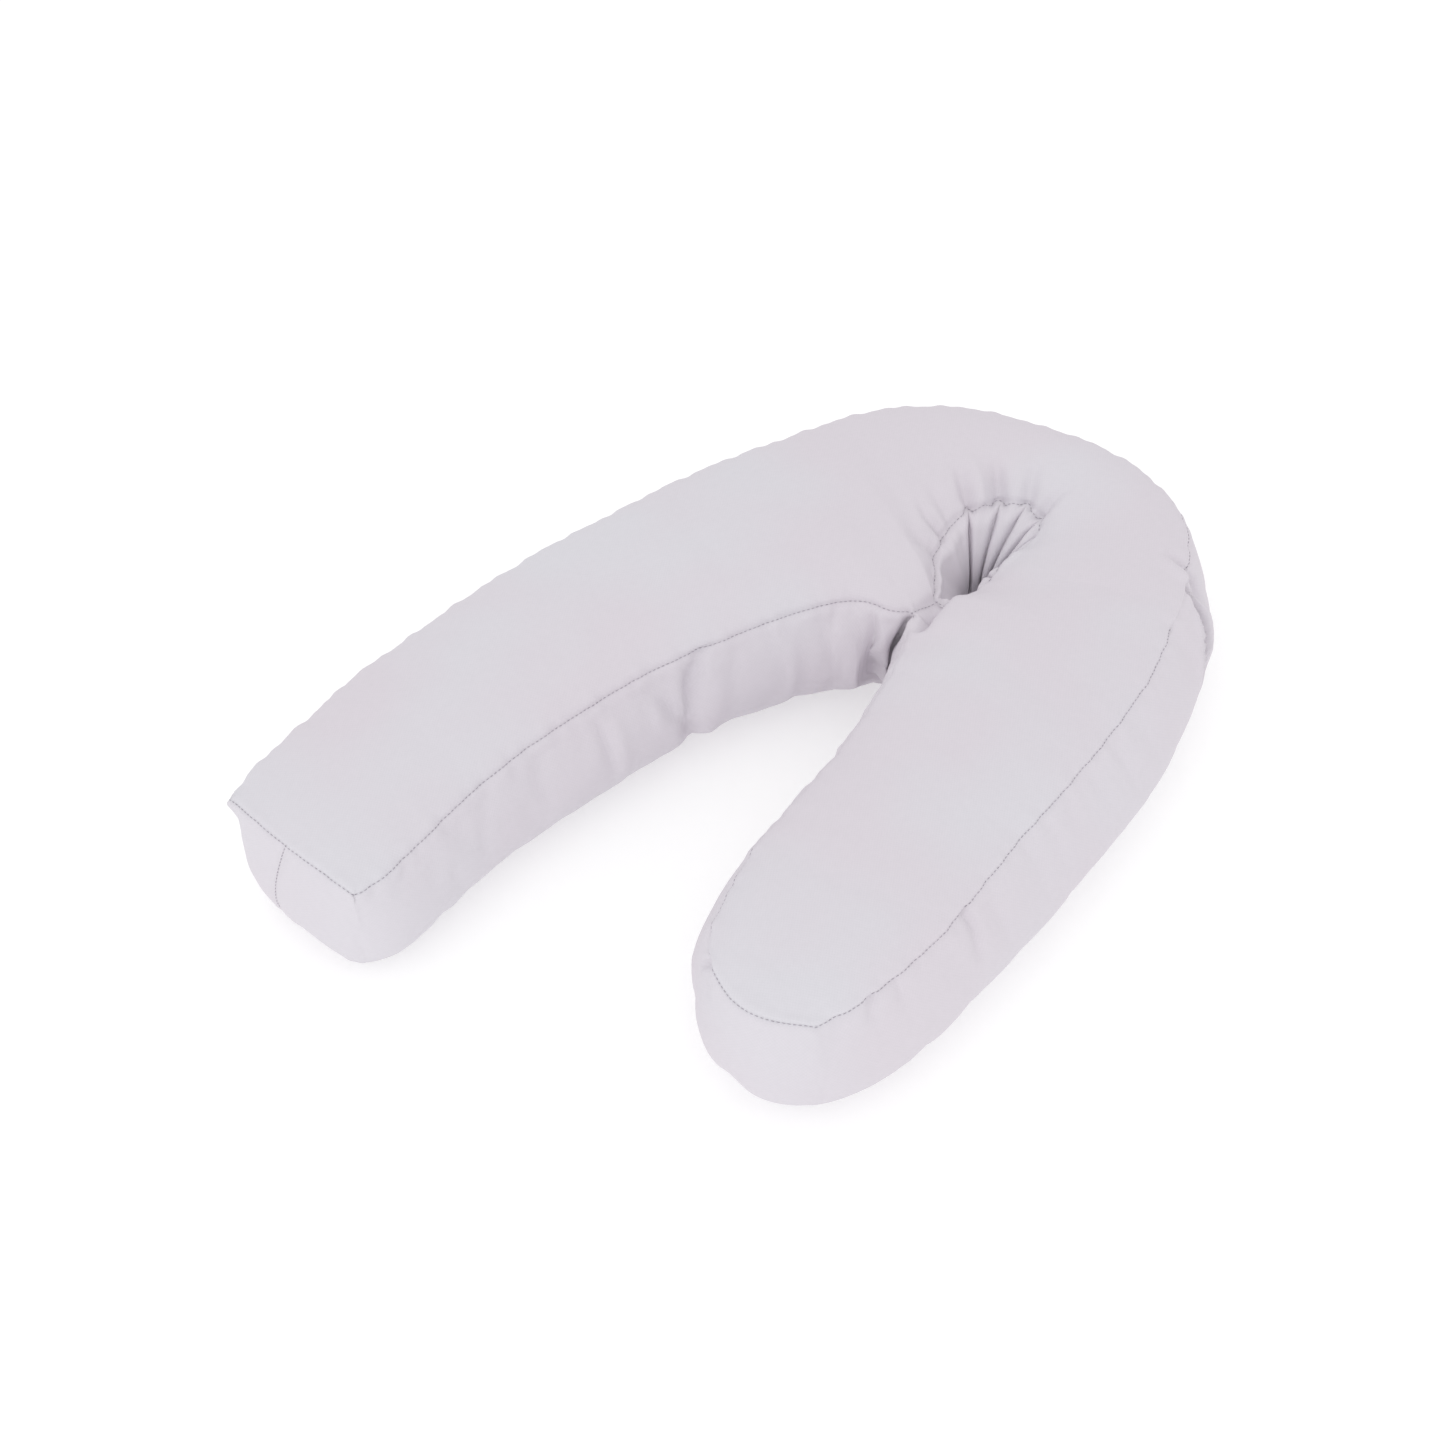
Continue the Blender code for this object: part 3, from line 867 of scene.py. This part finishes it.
def stitch_tree(thread):
    """A geometry node tree that lays stitches end to end along a cover's sewn edges."""
    tree = bpy.data.node_groups.new("stitches_along_seams", "GeometryNodeTree")
    sockets = tree.interface
    sockets.new_socket("Cover", in_out="INPUT", socket_type="NodeSocketGeometry")
    for name, size in (("Pitch", STITCH_PITCH), ("Stitch Length", STITCH_LENGTH),
                       ("Thread Thickness", THREAD_THICKNESS)):
        socket = sockets.new_socket(name, in_out="INPUT", socket_type="NodeSocketFloat")
        socket.default_value = size * MM
    sockets.new_socket("Stitches", in_out="OUTPUT", socket_type="NodeSocketGeometry")
    given = tree.nodes.new("NodeGroupInput")
    sewn = add_node(tree, "GeometryNodeInputNamedAttribute", {"data_type": "BOOLEAN"},
                    {"Name": "sewn"})
    seams = add_node(tree, "GeometryNodeMeshToCurve", links={
        "Mesh": given.outputs["Cover"], "Selection": sewn.outputs["Attribute"]})
    marks = add_node(tree, "GeometryNodeResampleCurve", {"mode": "LENGTH"}, links={
        "Curve": seams.outputs["Curve"], "Length": given.outputs["Pitch"]})
    ahead = tree.nodes.new("GeometryNodeInputTangent")
    turn = add_node(tree, "FunctionNodeAlignRotationToVector", {"axis": "X"}, links={
        "Vector": ahead.outputs["Tangent"]})
    ball = add_node(tree, "GeometryNodeMeshUVSphere", values={
        "Segments": 6, "Rings": 4, "Radius": 0.5})
    size = add_node(tree, "ShaderNodeCombineXYZ", links={
        "X": given.outputs["Stitch Length"], "Y": given.outputs["Thread Thickness"],
        "Z": given.outputs["Thread Thickness"]})
    laid = add_node(tree, "GeometryNodeInstanceOnPoints", links={
        "Points": marks.outputs["Curve"], "Instance": ball.outputs["Mesh"],
        "Rotation": turn.outputs["Rotation"], "Scale": size.outputs["Vector"]})
    real = add_node(tree, "GeometryNodeRealizeInstances", links={
        "Geometry": laid.outputs["Instances"]})
    dyed = add_node(tree, "GeometryNodeSetMaterial", values={"Material": thread}, links={
        "Geometry": real.outputs["Geometry"]})
    result = tree.nodes.new("NodeGroupOutput")
    tree.links.new(dyed.outputs["Geometry"], result.inputs["Stitches"])
    return tree


def stitches(cover_thing, thread):
    """The stitches along all of the cover's seams, as a plain mesh object."""
    thing = new_object("seam_stitches", cover_thing.data.copy())
    mesh = thing.data
    set_places(mesh, vectors(mesh, "co") + vectors(mesh, "normal") * STITCH_LIFT * MM)
    sewing = thing.modifiers.new("sewing", "NODES")
    sewing.node_group = stitch_tree(thread)
    mesh = evaluated_mesh(thing, "seam_stitches")
    thing.modifiers.clear()
    thing.data = mesh
    mesh.shade_smooth()
    return thing


def new_material(name, values):
    """A new material and its shader, which has the given values."""
    material = bpy.data.materials.new(name)
    material.use_nodes = True
    surface = material.node_tree.nodes["Principled BSDF"]
    for socket, value in values.items():
        surface.inputs[socket].default_value = value
    return material, surface


def woven_cotton():
    """Plain-woven cotton, washed and matt. Broad cool and warm patches keep the panels from
    looking flat, the weave's over-and-under shows up close, and a faint sheen softens the edges."""
    material, surface = new_material("woven_cotton_pale_lilac_grey", {
        "Roughness": 0.92, "Sheen Weight": 0.12, "Sheen Roughness": 0.5, "Specular IOR Level": 0.2})
    tree = material.node_tree
    place = tree.nodes.new("ShaderNodeTexCoord").outputs["Object"]

    # Uneven dyeing and washing: patches about ten centimetres wide, cooler along the long arm,
    # and weaker on the band and the underside, which therefore come out warmer than the top panel.
    patches = add_node(tree, "ShaderNodeTexNoise", values={
        "Scale": 8.0, "Detail": 2.0, "Roughness": 0.45}, links={"Vector": place})
    along = add_node(tree, "ShaderNodeSeparateXYZ", links={"Vector": place})
    cooler = add_node(tree, "ShaderNodeMath", {"operation": "MULTIPLY_ADD"}, {1: DYE_DRIFT}, {
        0: along.outputs["X"], 2: patches.outputs["Fac"]})
    contrast = add_node(tree, "ShaderNodeMapRange", values={
        "From Min": 0.42, "From Max": 0.72}, links={"Value": cooler.outputs["Value"]})
    sheet = add_node(tree, "ShaderNodeAttribute", {"attribute_name": "sheet"})
    on_panel = add_node(tree, "ShaderNodeMapRange", values={
        "From Min": 0.5, "From Max": 0.9, "To Min": 1.0, "To Max": 0.6},
        links={"Value": sheet.outputs["Fac"]})
    share = add_node(tree, "ShaderNodeMath", {"operation": "MULTIPLY"}, links={
        0: contrast.outputs["Result"], 1: on_panel.outputs["Result"]})
    dye = add_node(tree, "ShaderNodeMix", {"data_type": "RGBA"}, {
        "A": linear("#D7D1D8"), "B": linear("#D7D5DB")}, {"Factor": share.outputs["Value"]})

    # The weave: warp and weft pass over and under each other along the cloth's own grain.
    grain = add_node(tree, "ShaderNodeUVMap", {"uv_map": "grain"})
    axes = add_node(tree, "ShaderNodeSeparateXYZ", links={"Vector": grain.outputs["UV"]})
    waves = []
    for axis in ("X", "Y"):
        turns = add_node(tree, "ShaderNodeMath", {"operation": "MULTIPLY"}, {
            1: math.pi / (YARN_PITCH * MM)}, {0: axes.outputs[axis]})
        waves.append(add_node(tree, "ShaderNodeMath", {"operation": "SINE"}, links={
            0: turns.outputs["Value"]}))
    weave = add_node(tree, "ShaderNodeMath", {"operation": "MULTIPLY"}, links={
        0: waves[0].outputs["Value"], 1: waves[1].outputs["Value"]})

    # Slubs: thick and thin lengths of yarn, a few millimetres long.
    slubs = add_node(tree, "ShaderNodeTexNoise", values={
        "Scale": 260.0, "Detail": 2.0}, links={"Vector": place})
    height = add_node(tree, "ShaderNodeMath", {"operation": "MULTIPLY_ADD"}, {1: WEAVE_HEIGHT}, {
        0: weave.outputs["Value"], 2: slubs.outputs["Fac"]})
    relief = add_node(tree, "ShaderNodeBump", values={
        "Strength": 0.25, "Distance": 0.0002}, links={"Height": height.outputs["Value"]})

    # Light is lost between the yarns, so the cloth is a touch darker there.
    depth = add_node(tree, "ShaderNodeMapRange", values={
        "From Min": 0.0, "From Max": 1.2, "To Min": 0.975, "To Max": 1.025},
        links={"Value": height.outputs["Value"]})
    shaded = add_node(tree, "ShaderNodeVectorMath", {"operation": "SCALE"}, links={
        0: dye.outputs["Result"], "Scale": depth.outputs["Result"]})
    tree.links.new(shaded.outputs["Vector"], surface.inputs["Base Color"])
    tree.links.new(relief.outputs["Normal"], surface.inputs["Normal"])
    return material


def thread_with_painted_shade():
    """Spun polyester sewing thread, its own grey darkened by painted shade of the seam's groove."""
    material, surface = new_material("thread_grey_with_painted_shade", {"Roughness": 0.7})
    tree = material.node_tree
    place = tree.nodes.new("ShaderNodeTexCoord").outputs["Object"]
    # Single stitches catch the dye differently.
    uneven = add_node(tree, "ShaderNodeTexNoise", values={"Scale": 120.0}, links={"Vector": place})
    # Both greys are darker than the cloth: the thread's own grey plus painted shade of the seam's
    # groove and of the gaps between stitches.
    dye = add_node(tree, "ShaderNodeMix", {"data_type": "RGBA"}, {
        "A": linear("#8F8893"), "B": linear("#BAB3BD")}, {"Factor": uneven.outputs["Fac"]})
    tree.links.new(dye.outputs["Result"], surface.inputs["Base Color"])
    return material


def add_stage():
    """A white product table, lit from below, so that only a soft shadow shows on it."""
    mesh = bpy.data.meshes.new("studio_floor")
    shape = bmesh.new()
    bmesh.ops.create_grid(shape, x_segments=1, y_segments=1, size=FLOOR_SIZE)
    shape.to_mesh(mesh)
    shape.free()
    floor = new_object("studio_floor", mesh)
    paint, _ = new_material("matt_white_paint", {
        "Base Color": linear("#DCDCDC"), "Roughness": 1.0, "Specular IOR Level": 0.0,
        "Emission Color": (1.0, 1.0, 1.0, 1.0), "Emission Strength": 0.36})
    mesh.materials.append(paint)


def add_light():
    """An even white studio with two softboxes, both turned to the pillow."""
    world = bpy.data.worlds.new("white_studio")
    world.use_nodes = True
    world.node_tree.nodes["Background"].inputs["Color"].default_value = (1.0, 1.0, 1.0, 1.0)
    world.node_tree.nodes["Background"].inputs["Strength"].default_value = 0.95
    bpy.context.scene.world = world
    for name, energy, place in SOFTBOXES:
        lamp = bpy.data.lights.new(name, "AREA")
        lamp.size, lamp.energy = SOFTBOX_SIZE, energy
        softbox = new_object(name, lamp)
        softbox.location = place
        softbox.rotation_mode = "QUATERNION"
        softbox.rotation_quaternion = softbox.location.to_track_quat("Z", "Y")


def add_camera():
    """The camera, looking down at the pillow from the front left."""
    azimuth, elevation = math.radians(CAMERA_AZIMUTH), math.radians(CAMERA_ELEVATION)
    back = Vector((math.sin(azimuth) * math.cos(elevation),
                   -math.cos(azimuth) * math.cos(elevation), math.sin(elevation)))
    target = Vector([(there - middle) * MM
                     for there, middle in zip(CAMERA_TARGET, FOOTPRINT_MIDDLE)] + [0.0])
    camera = new_object("camera", bpy.data.cameras.new("camera"))
    camera.data.sensor_width, camera.data.lens = CAMERA_SENSOR, CAMERA_LENS
    camera.location = target + back * CAMERA_DISTANCE
    camera.rotation_mode = "QUATERNION"
    camera.rotation_quaternion = back.to_track_quat("Z", "Y")
    bpy.context.scene.camera = camera


add_camera()
bpy.context.scene.view_settings.view_transform = "Standard"
add_light()
add_stage()

cover = build_cover(top_panel())
wrinkle(cover)
gather_ear_hole(cover)
pillow = cover_object(cover, "pillow_cover")
finer(pillow)
press_folds(pillow, cover.outer_seam)
draw_in_seams(pillow)
sewing = stitches(pillow, thread_with_painted_shade())
pillow.data.materials.append(woven_cotton())

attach(pillow, "root")
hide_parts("pillow")
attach(sewing, "root")
